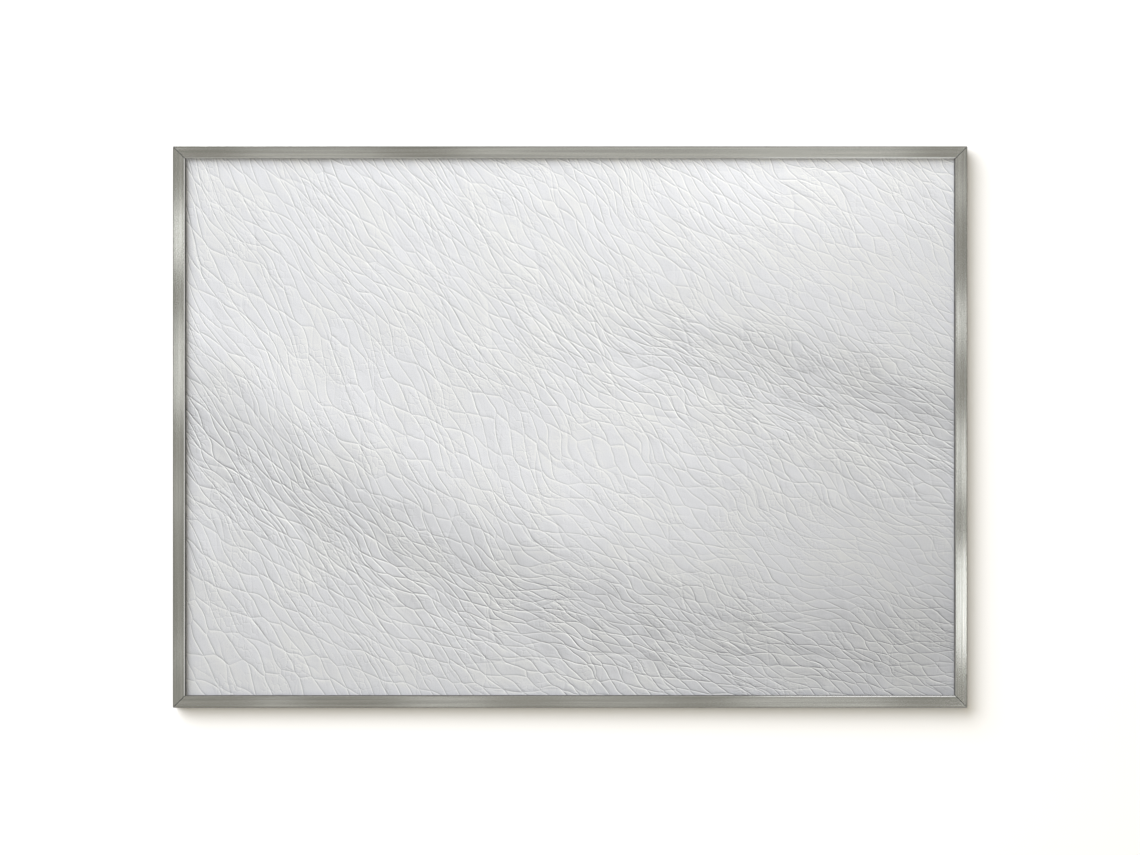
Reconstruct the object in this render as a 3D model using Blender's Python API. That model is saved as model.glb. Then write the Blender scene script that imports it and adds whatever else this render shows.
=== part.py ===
"""A magnetic glass board in a mitred aluminium frame, for hanging on a wall.

A glass pane, a printed film, a steel sheet and a back panel lie on each other in the groove of four extruded
rails. Bowed spring clips push this pack forward against rubber gaskets under the rails' front lip. Angle keys
and grub screws in the rails' rear channel hold the corners. Two hangers with keyholes slide in the same
channel along the top rail, and two rubber bumpers keep the bottom rail off the wall.

Units are metres and +Z is up. The board faces -Y, and the wall is the plane y = 0 behind it. The origin lies
in that plane, behind the middle of the pane. Two letters name the places in a rail's section: u runs from the
frame's outer edge towards the middle of the board, and v runs from the frame's front face back to the wall.
"""

import math

import bmesh
import bpy
from mathutils import Matrix, Vector

# Clearances that several pieces share
SEAT_GAP = 0.0003
BOND_GAP = 0.0001
CUT_OVERRUN = 0.001

# The pack of sheets
PANE_WIDTH = 1.000
PANE_HEIGHT = 0.700
PANE_THICKNESS = 0.004
PANE_EDGE_CHAMFER = 0.0004
FILM_THICKNESS = 0.0002
FILM_INSET = 0.0005
STEEL_THICKNESS = 0.0006
STEEL_INSET = 0.001
BACK_THICKNESS = 0.006

# The extruded rail
TUBE_WIDTH = 0.0094
EDGE_ROOM = 0.002
GLASS_COVER = 0.004
REVEAL_DEPTH = 0.0026
RAIL_WALL = 0.0014
OUTER_EDGE_RADIUS = 0.0009
OUTER_EDGE_STEPS = 4
INNER_EDGE_CHAMFER = 0.0011
FLANGE_REACH = 0.0045
CHANNEL_LIP = 0.0009

# The rubber gaskets between the rails' lip and the pane, and how far each one shows beyond the lip
GASKET_THICKNESS = 0.001
GASKET_GRIP = 0.0032
GASKET_SIDE_SHOW = 0.0015
GASKET_SHOWS = {"top": -0.0004, "right": GASKET_SIDE_SHOW, "bottom": 0.0007, "left": GASKET_SIDE_SHOW}
GASKET_NOSE_STEPS = 6

# The setting blocks that the pack stands on, with their places as shares of the pane's width
BLOCK_LENGTH = 0.060
BLOCK_PLACE_SHARES = {"left": -0.25, "right": 0.25}

# The corner keys, and the grub screws that lock them
KEY_LEG = 0.045
KEY_THICKNESS = 0.0026
KEY_PLAY = 0.001
SCREW_DIAMETER = 0.003
SCREW_SIDES = 24
CORNER_SCREW_LENGTH = 0.004
CORNER_SCREW_FROM_END = 0.014
SOCKET_ACROSS_FLATS = 0.0015
SOCKET_DEPTH = 0.0015

# The spring clips between the back panel and the rails' flange, with their places as shares of the length
CLIP_SPACE = 0.0053
CLIP_SHEET = 0.0005
CLIP_LENGTH = 0.062
CLIP_WIDTH = 0.0125
CLIP_STEPS = 16
WIDE_SIDE_CLIP_SHARES = (-0.34, 0, 0.34)
TALL_SIDE_CLIP_SHARES = (-0.25, 0.25)

# The hangers, their keyholes and their lock screws
HANGER_FROM_PANE_EDGE = 0.200
HANGER_WIDTH = 0.034
HANGER_SHEET = 0.0015
HANGER_CORNER_RADIUS = 0.006
HANGER_CORNER_STEPS = 6
HANGER_RIM = 0.005
HANGER_NECK_GAP = 0.008
KEYHOLE_BELOW_FLANGE = 0.0073
KEYHOLE_TRAVEL = 0.010
KEYHOLE_ENTRY_DIAMETER = 0.010
KEYHOLE_SLOT_WIDTH = 0.005
KEYHOLE_STEPS = 24
LOCK_SCREW_LENGTH = 0.006

# The rubber bumpers on the bottom rail
BUMPER_DIAMETER = 0.012
BUMPER_FROM_CORNER = 0.075
BUMPER_SIDES = 32
BUMPER_EDGE_RADIUS = 0.0005
BUMPER_EDGE_STEPS = 2

# Places in the rail's section, counted along u
PANE_EDGE = TUBE_WIDTH + EDGE_ROOM
FACE_WIDTH = PANE_EDGE + GLASS_COVER
GASKET_OUTER = FACE_WIDTH - GASKET_GRIP
FLANGE_EDGE = TUBE_WIDTH + FLANGE_REACH
CHANNEL_LINE = TUBE_WIDTH / 2
CHANNEL_WIDTH = TUBE_WIDTH - 2 * RAIL_WALL
SLOT_WIDTH = CHANNEL_WIDTH - 2 * CHANNEL_LIP

# Places in the rail's section, counted along v
GASKET_FRONT = REVEAL_DEPTH + SEAT_GAP
PANE_FRONT = GASKET_FRONT + GASKET_THICKNESS + SEAT_GAP
FILM_FRONT = PANE_FRONT + PANE_THICKNESS + BOND_GAP
STEEL_FRONT = FILM_FRONT + FILM_THICKNESS + BOND_GAP
BACK_FRONT = STEEL_FRONT + STEEL_THICKNESS + BOND_GAP
BACK_REAR = BACK_FRONT + BACK_THICKNESS
FLANGE_FRONT = BACK_REAR + CLIP_SPACE
RAIL_DEPTH = FLANGE_FRONT + RAIL_WALL
KEY_REAR = FLANGE_FRONT - SEAT_GAP
KEY_FRONT = KEY_REAR - KEY_THICKNESS
CHANNEL_FLOOR = KEY_FRONT - KEY_PLAY - SEAT_GAP
SCREW_FRONT = CHANNEL_FLOOR + SEAT_GAP
HANGER_FRONT = RAIL_DEPTH + SEAT_GAP
WALL_PLANE = HANGER_FRONT + HANGER_SHEET

# The frame's outer size
OUTER_WIDTH = PANE_WIDTH + 2 * PANE_EDGE
OUTER_HEIGHT = PANE_HEIGHT + 2 * PANE_EDGE

# For each side: the turn about Y that brings the top side there, its length, and the frame's size across it
SIDES = {
    "top": (0, OUTER_WIDTH, OUTER_HEIGHT),
    "right": (math.pi / 2, OUTER_HEIGHT, OUTER_WIDTH),
    "bottom": (math.pi, OUTER_WIDTH, OUTER_HEIGHT),
    "left": (-math.pi / 2, OUTER_HEIGHT, OUTER_WIDTH),
}

# For each corner: the signs of x and z there
CORNERS = {
    "top_left": (-1, 1),
    "top_right": (1, 1),
    "bottom_right": (1, -1),
    "bottom_left": (-1, -1),
}


def clear_scene():
    for obj in list(bpy.data.objects):
        bpy.data.objects.remove(obj)


def make_material(name, colour, roughness, metallic=0.0, transmission=0.0):
    material = bpy.data.materials.new(name)
    material.use_nodes = True
    shader = material.node_tree.nodes["Principled BSDF"]
    shader.inputs["Base Color"].default_value = (*colour, 1)
    shader.inputs["Roughness"].default_value = roughness
    shader.inputs["Metallic"].default_value = metallic
    shader.inputs["Transmission Weight"].default_value = transmission
    return material


def object_from(bm, name, material, location=(0, 0, 0), turn=0.0, parent=None, smooth=False):
    """The bmesh as a named object, turned about Y and then moved. Its faces are made to point outwards."""
    bmesh.ops.recalc_face_normals(bm, faces=bm.faces)
    mesh = bpy.data.meshes.new(name)
    bm.to_mesh(mesh)
    bm.free()
    mesh.materials.append(material)
    if smooth:
        mesh.shade_smooth()
        mesh.set_sharp_from_angle(angle=math.radians(35))
    obj = bpy.data.objects.new(name, mesh)
    bpy.context.scene.collection.objects.link(obj)
    obj.location = location
    obj.rotation_euler = (0, turn, 0)
    obj.parent = parent
    return obj


def add_boolean(obj, bm, label, operation, location=(0, 0, 0), parent=None):
    """Cuts the bmesh out of the object, or joins it on, by way of a hidden object that stays live."""
    other = object_from(bm, f"{obj.name}_{label}", obj.data.materials[0], location, parent=parent)
    other.hide_render = True
    other.display_type = "WIRE"
    modifier = obj.modifiers.new(label, "BOOLEAN")
    modifier.operation = operation
    modifier.solver = "EXACT"
    modifier.object = other


def arc(centre_a, centre_b, radius, start, end, steps):
    """Points of an arc in a flat outline, from one angle to another."""
    angles = [start + (end - start) * i / steps for i in range(steps + 1)]
    return [(centre_a + radius * math.cos(angle), centre_b + radius * math.sin(angle)) for angle in angles]


def rectangle(low_a, high_a, low_b, high_b):
    return [(low_a, low_b), (high_a, low_b), (high_a, high_b), (low_a, high_b)]


def prism(outlines, place, lift):
    """A closed solid from flat outlines, where those after the first are holes right through it.

    place turns an outline's point into a vertex's place, and lift is the vector from one end to the other.
    """
    bm = bmesh.new()
    edges = []
    for outline in outlines:
        verts = [bm.verts.new(place(a, b)) for a, b in outline]
        edges += [bm.edges.new((verts[i - 1], verts[i])) for i in range(len(verts))]
    filled = bmesh.ops.triangle_fill(bm, edges=edges, use_beauty=True)
    cap = [part for part in filled["geom"] if isinstance(part, bmesh.types.BMFace)]
    raised = bmesh.ops.extrude_face_region(bm, geom=cap)
    verts = [part for part in raised["geom"] if isinstance(part, bmesh.types.BMVert)]
    bmesh.ops.translate(bm, vec=lift, verts=verts)
    return bm


def box(low, high):
    """A box between two opposite corners."""
    size = [b - a for a, b in zip(low, high)]
    middle = [(a + b) / 2 for a, b in zip(low, high)]
    bm = bmesh.new()
    bmesh.ops.create_cube(bm, size=1, matrix=Matrix.Translation(middle) @ Matrix.Diagonal((*size, 1)))
    return bm


def round_bar(radius, sides, front, rear):
    """A bar about the Y axis, from one v to another."""
    bm = bmesh.new()
    middle = Matrix.Translation((0, (front + rear) / 2 - WALL_PLANE, 0))
    bmesh.ops.create_cone(
        bm,
        cap_ends=True,
        segments=sides,
        radius1=radius,
        radius2=radius,
        depth=rear - front,
        matrix=middle @ Matrix.Rotation(math.pi / 2, 4, "X"),
    )
    return bm


def rail_section():
    """The rail's outline, with the channel open at its rear, and its closed chamber."""
    slot_outer = CHANNEL_LINE - SLOT_WIDTH / 2
    slot_inner = CHANNEL_LINE + SLOT_WIDTH / 2
    radius = OUTER_EDGE_RADIUS
    outline = [
        *arc(radius, radius, radius, math.pi, 1.5 * math.pi, OUTER_EDGE_STEPS),
        (FACE_WIDTH - INNER_EDGE_CHAMFER, 0),
        (FACE_WIDTH, INNER_EDGE_CHAMFER),
        (FACE_WIDTH, REVEAL_DEPTH),
        (TUBE_WIDTH, REVEAL_DEPTH),
        (TUBE_WIDTH, FLANGE_FRONT),
        (FLANGE_EDGE, FLANGE_FRONT),
        (FLANGE_EDGE, RAIL_DEPTH),
        (slot_inner, RAIL_DEPTH),
        (slot_inner, FLANGE_FRONT),
        (TUBE_WIDTH - RAIL_WALL, FLANGE_FRONT),
        (TUBE_WIDTH - RAIL_WALL, CHANNEL_FLOOR),
        (RAIL_WALL, CHANNEL_FLOOR),
        (RAIL_WALL, FLANGE_FRONT),
        (slot_outer, FLANGE_FRONT),
        (slot_outer, RAIL_DEPTH),
        (0, RAIL_DEPTH),
    ]
    chamber = rectangle(RAIL_WALL, TUBE_WIDTH - RAIL_WALL, RAIL_WALL, CHANNEL_FLOOR - RAIL_WALL)
    return [outline, chamber]


def frame_rail(side, material):
    """One rail with its ends cut at 45 degrees, so that it meets its neighbours on the corners' diagonals.

    It is drawn along the top side about the board's middle and turned to its own side. Each end is slid back
    by the point's own u, and by the share of the gap between two mitres that falls to it.
    """
    turn, length, across = SIDES[side]
    bm = prism(rail_section(), lambda u, v: (-length / 2, v - WALL_PLANE, -u), Vector((length, 0, 0)))
    slide = SEAT_GAP / math.sqrt(2)
    for vert in bm.verts:
        u = -vert.co.z
        vert.co.x -= math.copysign(u + slide, vert.co.x)
        vert.co.z += across / 2
    return object_from(bm, f"frame_rail_{side}", material, turn=turn)


def gasket(side, material):
    """A flat rubber strip with a round nose, cut square at its ends.

    The left and right strips run the whole height of the groove. The other two lie between them, and the top
    one is tucked under the lip.
    """
    turn, length, across = SIDES[side]
    upright = side in ("left", "right")
    nose_u = FACE_WIDTH + GASKET_SHOWS[side]
    end_u = GASKET_OUTER if upright else FACE_WIDTH + GASKET_SIDE_SHOW + SEAT_GAP
    radius = GASKET_THICKNESS / 2
    section = [
        (GASKET_OUTER, GASKET_FRONT),
        *arc(nose_u - radius, GASKET_FRONT + radius, radius, -math.pi / 2, math.pi / 2, GASKET_NOSE_STEPS),
        (GASKET_OUTER, GASKET_FRONT + GASKET_THICKNESS),
    ]
    half = length / 2 - end_u
    bm = prism([section], lambda u, v: (-half, v - WALL_PLANE, across / 2 - u), Vector((2 * half, 0, 0)))
    return object_from(bm, f"gasket_{side}", material, turn=turn, smooth=True)


def sheet(name, front, thickness, inset, material):
    """One of the pack's flat sheets, smaller than the pane by inset on each side."""
    low = (inset - PANE_WIDTH / 2, front - WALL_PLANE, inset - PANE_HEIGHT / 2)
    high = (PANE_WIDTH / 2 - inset, front + thickness - WALL_PLANE, PANE_HEIGHT / 2 - inset)
    return object_from(box(low, high), name, material)


def glass_pane(material):
    """The pane, with its sharp edges ground off."""
    pane = sheet("glass_pane", PANE_FRONT, PANE_THICKNESS, 0, material)
    bevel = pane.modifiers.new("ground_edges", "BEVEL")
    bevel.width = PANE_EDGE_CHAMFER
    bevel.segments = 1
    return pane


def setting_block(side, material):
    """A rubber block between the bottom rail and the lower edges of the sheets."""
    place_x = BLOCK_PLACE_SHARES[side] * PANE_WIDTH
    bottom = TUBE_WIDTH + SEAT_GAP - OUTER_HEIGHT / 2
    top = PANE_EDGE - SEAT_GAP - OUTER_HEIGHT / 2
    low = (place_x - BLOCK_LENGTH / 2, PANE_FRONT - WALL_PLANE, bottom)
    high = (place_x + BLOCK_LENGTH / 2, BACK_REAR - WALL_PLANE, top)
    return object_from(box(low, high), f"setting_block_{side}", material)


def grub_screw(name, length, material, location=(0, 0, 0), parent=None):
    """A headless screw that stands on the channel's floor, with a hexagon socket in its rear end."""
    rear = SCREW_FRONT + length
    bm = round_bar(SCREW_DIAMETER / 2, SCREW_SIDES, SCREW_FRONT, rear)
    screw = object_from(bm, name, material, location, parent=parent, smooth=True)
    socket = round_bar(SOCKET_ACROSS_FLATS / math.sqrt(3), 6, rear - SOCKET_DEPTH, rear + CUT_OVERRUN)
    add_boolean(screw, socket, "socket", "DIFFERENCE", parent=screw)
    return screw


def screw_hole():
    """A cutter for a screw's hole through whatever lies between the channel's floor and the wall."""
    return round_bar(SCREW_DIAMETER / 2 + SEAT_GAP, SCREW_SIDES, CHANNEL_FLOOR, WALL_PLANE + CUT_OVERRUN)


def corner_screw_spots(corner):
    """The places of a corner's two screws, by the leg of the key that they go through."""
    sign_x, sign_z = CORNERS[corner]
    from_edge = RAIL_WALL + SEAT_GAP + KEY_LEG - CORNER_SCREW_FROM_END
    return {
        "wide": (sign_x * (OUTER_WIDTH / 2 - from_edge), 0, sign_z * (OUTER_HEIGHT / 2 - CHANNEL_LINE)),
        "tall": (sign_x * (OUTER_WIDTH / 2 - CHANNEL_LINE), 0, sign_z * (OUTER_HEIGHT / 2 - from_edge)),
    }


def corner_key(corner, zinc, black_steel):
    """An angle plate that slides into the rear channels of two rails, with a grub screw in each leg."""
    sign_x, sign_z = CORNERS[corner]
    near = RAIL_WALL + SEAT_GAP
    far = TUBE_WIDTH - RAIL_WALL - SEAT_GAP
    end = near + KEY_LEG
    angle = [(near, near), (end, near), (end, far), (far, far), (far, end), (near, end)]
    front_y = KEY_FRONT - WALL_PLANE
    bm = prism(
        [angle],
        lambda a, b: (sign_x * (OUTER_WIDTH / 2 - a), front_y, sign_z * (OUTER_HEIGHT / 2 - b)),
        Vector((0, KEY_THICKNESS, 0)),
    )
    key = object_from(bm, f"corner_key_{corner}", zinc)
    for leg, spot in corner_screw_spots(corner).items():
        add_boolean(key, screw_hole(), f"hole_{leg}", "DIFFERENCE", spot)
        grub_screw(f"corner_screw_{corner}_{leg}", CORNER_SCREW_LENGTH, black_steel, spot)
    return key


def spring_clip(side, number, share, material):
    """A bowed leaf of spring steel: its middle presses the back panel, its ends press the rail's flange."""
    turn, length, across = SIDES[side]
    half = CLIP_LENGTH / 2
    rise = CLIP_SPACE - 2 * SEAT_GAP - CLIP_SHEET
    radius = (half * half + rise * rise) / (2 * rise)
    reach = math.asin(half / radius)
    low_v = BACK_REAR + SEAT_GAP
    front = arc(0, low_v + radius, radius, -math.pi / 2 - reach, -math.pi / 2 + reach, CLIP_STEPS)
    rear = [(along, v + CLIP_SHEET) for along, v in reversed(front)]
    outer_u = TUBE_WIDTH + SEAT_GAP
    bm = prism(
        [front + rear],
        lambda along, v: (share * length + along, v - WALL_PLANE, across / 2 - outer_u),
        Vector((0, 0, -CLIP_WIDTH)),
    )
    return object_from(bm, f"spring_clip_{side}_{number}", material, turn=turn, smooth=True)


def hanger_plate():
    """The hanger's flat plate with its keyhole, drawn as x and the drop below the channel's line."""
    half = HANGER_WIDTH / 2
    radius = HANGER_CORNER_RADIUS
    slot_radius = KEYHOLE_SLOT_WIDTH / 2
    entry_radius = KEYHOLE_ENTRY_DIAMETER / 2
    seat_drop = FLANGE_EDGE - CHANNEL_LINE + KEYHOLE_BELOW_FLANGE
    entry_drop = seat_drop + KEYHOLE_TRAVEL
    bottom = entry_drop + entry_radius + HANGER_RIM
    top = SEAT_GAP - SLOT_WIDTH / 2
    plate = [
        (-half, top),
        (half, top),
        *arc(half - radius, bottom - radius, radius, 0, math.pi / 2, HANGER_CORNER_STEPS),
        *arc(radius - half, bottom - radius, radius, math.pi / 2, math.pi, HANGER_CORNER_STEPS),
    ]
    mouth = math.asin(slot_radius / entry_radius)
    keyhole = [
        *arc(0, seat_drop, slot_radius, -math.pi, 0, KEYHOLE_STEPS // 2),
        *arc(0, entry_drop, entry_radius, mouth - math.pi / 2, 1.5 * math.pi - mouth, KEYHOLE_STEPS),
    ]
    front_y = HANGER_FRONT - WALL_PLANE
    return prism([plate, keyhole], lambda x, drop: (x, front_y, -drop), Vector((0, HANGER_SHEET, 0)))


def hanger_stem():
    """The hanger's foot in the channel and its neck through the slot, which ends inside the plate."""
    foot = CHANNEL_WIDTH / 2 - SEAT_GAP
    neck = SLOT_WIDTH / 2 - SEAT_GAP
    neck_end = HANGER_FRONT + HANGER_SHEET / 2
    section = [
        (-foot, KEY_FRONT),
        (foot, KEY_FRONT),
        (foot, KEY_REAR),
        (neck, KEY_REAR),
        (neck, neck_end),
        (-neck, neck_end),
        (-neck, KEY_REAR),
        (-foot, KEY_REAR),
    ]
    return prism(
        [section],
        lambda drop, v: (-HANGER_WIDTH / 2, v - WALL_PLANE, -drop),
        Vector((HANGER_WIDTH, 0, 0)),
    )


def hanger(side, sign, zinc, black_steel):
    """A hanger in its place along the top rail, with its origin on the channel's line, and its lock screw."""
    spot = (sign * (PANE_WIDTH / 2 - HANGER_FROM_PANE_EDGE), 0, OUTER_HEIGHT / 2 - CHANNEL_LINE)
    body = object_from(hanger_plate(), f"hanger_{side}", zinc, spot)
    add_boolean(body, hanger_stem(), "stem", "UNION", parent=body)
    gap_low = (-HANGER_NECK_GAP / 2, KEY_REAR - WALL_PLANE, -CHANNEL_WIDTH / 2)
    gap_high = (HANGER_NECK_GAP / 2, HANGER_FRONT - WALL_PLANE, CHANNEL_WIDTH / 2)
    add_boolean(body, box(gap_low, gap_high), "neck_gap", "DIFFERENCE", parent=body)
    add_boolean(body, screw_hole(), "hole", "DIFFERENCE", parent=body)
    grub_screw(f"hanger_lock_screw_{side}", LOCK_SCREW_LENGTH, black_steel, parent=body)
    return body


def wall_bumper(side, sign, material):
    """A round rubber foot on the bottom rail's rear, as thick as a hanger's plate."""
    place_x = sign * (OUTER_WIDTH / 2 - BUMPER_FROM_CORNER)
    place_z = FLANGE_EDGE / 2 - OUTER_HEIGHT / 2
    bm = round_bar(BUMPER_DIAMETER / 2, BUMPER_SIDES, HANGER_FRONT, WALL_PLANE)
    rear_y = max(vert.co.y for vert in bm.verts)
    rim = [edge for edge in bm.edges if all(rear_y - vert.co.y < SEAT_GAP for vert in edge.verts)]
    bmesh.ops.bevel(
        bm,
        geom=rim,
        offset=BUMPER_EDGE_RADIUS,
        affect="EDGES",
        segments=BUMPER_EDGE_STEPS,
        profile=0.5,
        material=-1,
    )
    return object_from(bm, f"wall_bumper_{side}", material, (place_x, 0, place_z), smooth=True)


def build():
    clear_scene()
    nickel = make_material("satin_nickel_aluminium", (0.50, 0.50, 0.46), 0.32, metallic=1.0)
    glass = make_material("clear_glass", (0.93, 0.97, 0.95), 0.02, transmission=1.0)
    leather_print = make_material("white_leather_print", (0.70, 0.71, 0.72), 0.55)
    steel = make_material("galvanised_steel", (0.60, 0.61, 0.62), 0.40, metallic=1.0)
    hardboard = make_material("brown_hardboard", (0.24, 0.15, 0.09), 0.85)
    rubber = make_material("black_rubber", (0.02, 0.02, 0.02), 0.75)
    zinc = make_material("zinc_plated_steel", (0.62, 0.62, 0.60), 0.35, metallic=1.0)
    spring_steel = make_material("blued_spring_steel", (0.30, 0.31, 0.33), 0.30, metallic=1.0)
    black_steel = make_material("black_oxide_steel", (0.06, 0.06, 0.06), 0.45, metallic=1.0)

    for side in SIDES:
        frame_rail(side, nickel)
        gasket(side, rubber)
        clip_shares = TALL_SIDE_CLIP_SHARES if side in ("left", "right") else WIDE_SIDE_CLIP_SHARES
        for number, share in enumerate(clip_shares, start=1):
            spring_clip(side, number, share, spring_steel)

    glass_pane(glass)
    sheet("printed_film", FILM_FRONT, FILM_THICKNESS, FILM_INSET, leather_print)
    sheet("steel_sheet", STEEL_FRONT, STEEL_THICKNESS, STEEL_INSET, steel)
    sheet("back_panel", BACK_FRONT, BACK_THICKNESS, 0, hardboard)

    for corner in CORNERS:
        corner_key(corner, zinc, black_steel)
    for side, sign in (("left", -1), ("right", 1)):
        setting_block(side, rubber)
        hanger(side, sign, zinc, black_steel)
        wall_bumper(side, sign, rubber)


build()
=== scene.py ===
# %% [markdown]
# # A magnetic glass board, dressed for its picture
#
# The board is a pane of clear glass over a printed film and a steel sheet, held in a slim frame of mitred
# aluminium. Its solid model is made already and loads below as a fixed frame. This lesson gives each surface
# its finish, hangs the board on a wall and lights it.
#
# Units are metres. +Z is up, the board faces -Y, and the wall is the plane y = 0 behind it.

import math

import bmesh
import bpy
from mathutils import Matrix, Vector


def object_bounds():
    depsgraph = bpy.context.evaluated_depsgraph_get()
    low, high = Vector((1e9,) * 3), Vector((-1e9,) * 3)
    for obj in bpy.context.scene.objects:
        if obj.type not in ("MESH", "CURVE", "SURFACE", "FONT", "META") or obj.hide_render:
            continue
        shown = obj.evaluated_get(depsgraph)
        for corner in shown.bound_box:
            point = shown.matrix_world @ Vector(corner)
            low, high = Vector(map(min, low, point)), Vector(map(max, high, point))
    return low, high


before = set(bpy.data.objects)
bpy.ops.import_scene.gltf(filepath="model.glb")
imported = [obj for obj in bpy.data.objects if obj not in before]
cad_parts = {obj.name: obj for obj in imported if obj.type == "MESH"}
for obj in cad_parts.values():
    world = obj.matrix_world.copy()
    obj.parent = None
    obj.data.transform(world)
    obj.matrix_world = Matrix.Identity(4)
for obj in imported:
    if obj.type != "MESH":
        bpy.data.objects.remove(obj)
solid_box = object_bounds()
print("nodes:", len(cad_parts))
print("solid model from", solid_box[0], "to", solid_box[1])

# %% [markdown]
# ## Small helpers for shader nodes
#
# A finish is a graph of shader nodes. Written by hand, each node takes four or five lines: make it, set its
# options, fill its inputs, link it. A few helpers turn that into one line each, so that the graphs below read
# like sums. An input can be filled with a plain value or with the output of another node.

# %% Helpers: nodes, sums and vectors


def attach(tree, socket, value):
    """Fills an input with a value, or links it to another node's output."""
    if isinstance(value, bpy.types.NodeSocket):
        tree.links.new(value, socket)
    elif value is not None:
        socket.default_value = value


def add_node(tree, kind, inputs=None, **settings):
    node = tree.nodes.new(f"ShaderNode{kind}")
    for name, value in settings.items():
        setattr(node, name, value)
    for name, value in (inputs or {}).items():
        attach(tree, node.inputs[name], value)
    return node


def do_math(tree, operation, *values):
    return add_node(tree, "Math", dict(enumerate(values)), operation=operation).outputs[0]


def do_vector(tree, operation, first, second):
    """A sum on vectors. SCALE takes a number as its second value, and DOT_PRODUCT gives a number."""
    node = add_node(tree, "VectorMath", {0: first}, operation=operation)
    attach(tree, node.inputs["Scale" if operation == "SCALE" else 1], second)
    return node.outputs["Value" if operation == "DOT_PRODUCT" else "Vector"]


def split(tree, vector):
    return add_node(tree, "SeparateXYZ", {"Vector": vector}).outputs


def combine(tree, x, y, z):
    return add_node(tree, "CombineXYZ", {"X": x, "Y": y, "Z": z}).outputs[0]


def ease(tree, value, low, high, to_low=0.0, to_high=1.0):
    """A soft step from one value to another, as the input goes from low to high."""
    inputs = {"Value": value, "From Min": low, "From Max": high, "To Min": to_low, "To Max": to_high}
    return add_node(tree, "MapRange", inputs, interpolation_type="SMOOTHSTEP").outputs["Result"]


def mix_colours(tree, share, first, second):
    """Goes from the first colour to the second as share goes from 0 to 1."""
    node = add_node(tree, "Mix", {"Factor": share}, data_type="RGBA")
    attach(tree, node.inputs["A"], first)
    attach(tree, node.inputs["B"], second)
    return node.outputs[2]


print("helpers for nodes, sums and vectors are ready")

# %% Helpers: patterns, groups and materials


def noise(tree, vector, size, detail=2.0, roughness=0.5, output="Fac"):
    """Cloudy noise whose patches are about size metres across."""
    inputs = {"Vector": vector, "Scale": 1 / size, "Detail": detail, "Roughness": roughness}
    return add_node(tree, "TexNoise", inputs).outputs[output]


def cell_walls(tree, vector, size, randomness=1.0):
    """The distance, in metres, to the nearest wall between cells of that size."""
    inputs = {"Vector": vector, "Scale": 1 / size, "Randomness": randomness}
    node = add_node(tree, "TexVoronoi", inputs, voronoi_dimensions="2D", feature="DISTANCE_TO_EDGE")
    return do_math(tree, "MULTIPLY", node.outputs["Distance"], size)


def new_group(name, inputs, outputs):
    """An empty node group with named sockets, which are given as {name: kind}."""
    tree = bpy.data.node_groups.new(name, "ShaderNodeTree")
    for side, sockets in (("INPUT", inputs), ("OUTPUT", outputs)):
        for label, kind in sockets.items():
            tree.interface.new_socket(label, in_out=side, socket_type=f"NodeSocket{kind}")
    return tree, tree.nodes.new("NodeGroupInput").outputs, tree.nodes.new("NodeGroupOutput").inputs


def use_group(tree, group, inputs):
    node = add_node(tree, "Group", node_tree=group)
    for name, value in inputs.items():
        attach(tree, node.inputs[name], value)
    return node.outputs


def new_material(name):
    """A material with its own shader, and the place of each point on its object."""
    material = bpy.data.materials.new(name)
    material.use_nodes = True
    tree = material.node_tree
    return material, tree, tree.nodes["Principled BSDF"], add_node(tree, "TexCoord").outputs["Object"]


def set_shader(tree, shader, values, height=None, bump_depth=0.0):
    """Fills the shader's inputs, and gives it a bump of that depth in metres where there is a height."""
    for name, value in values.items():
        attach(tree, shader.inputs[name], value)
    if height is not None:
        bump = add_node(tree, "Bump", {"Height": height, "Distance": bump_depth})
        attach(tree, shader.inputs["Normal"], bump.outputs["Normal"])


def dress(material, *names):
    for name in names:
        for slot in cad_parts[name].material_slots:
            slot.material = material
    print(material.name, "on", len(names), "nodes")


def names_with(start):
    return [name for name in sorted(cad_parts) if name.startswith(start)]


print("helpers for patterns, groups and materials are ready")

# %% [markdown]
# ## The camera
#
# The photograph looks straight at the board, with no sign of wide-angle stretch: a long lens from a few
# metres away. One millimetre on the board's front is a fixed share of a pixel, so the distance follows from
# the lens: the picture is 1140 pixels wide, and the frame's 1022.8 millimetres take 794.6 of them.

# %% Place the camera
PICTURE_WIDTH = 1140
FRAME_PIXELS = 794.6
FRAME_MIDDLE_PIXELS = (570.1, 427.05)
PICTURE_MIDDLE_PIXELS = (570, 427.5)
LENS_MM = 85
SENSOR_MM = 36

frame_low, frame_high = solid_box
metres_per_pixel = (frame_high[0] - frame_low[0]) / FRAME_PIXELS
distance = metres_per_pixel * PICTURE_WIDTH * LENS_MM / SENSOR_MM
camera_data = bpy.data.cameras.new("photo_camera")
camera_data.lens = LENS_MM
camera_data.sensor_width = SENSOR_MM
camera = bpy.data.objects.new("photo_camera", camera_data)
camera.location = (
    (PICTURE_MIDDLE_PIXELS[0] - FRAME_MIDDLE_PIXELS[0]) * metres_per_pixel,
    frame_low[1] - distance,
    (FRAME_MIDDLE_PIXELS[1] - PICTURE_MIDDLE_PIXELS[1]) * metres_per_pixel,
)
camera.rotation_euler = (math.pi / 2, 0, 0)
bpy.context.scene.collection.objects.link(camera)
bpy.context.scene.camera = camera
print("camera", round(distance, 3), "m in front of the frame")
print("a pixel is", round(metres_per_pixel * 1000, 3), "mm on the frame")

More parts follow.
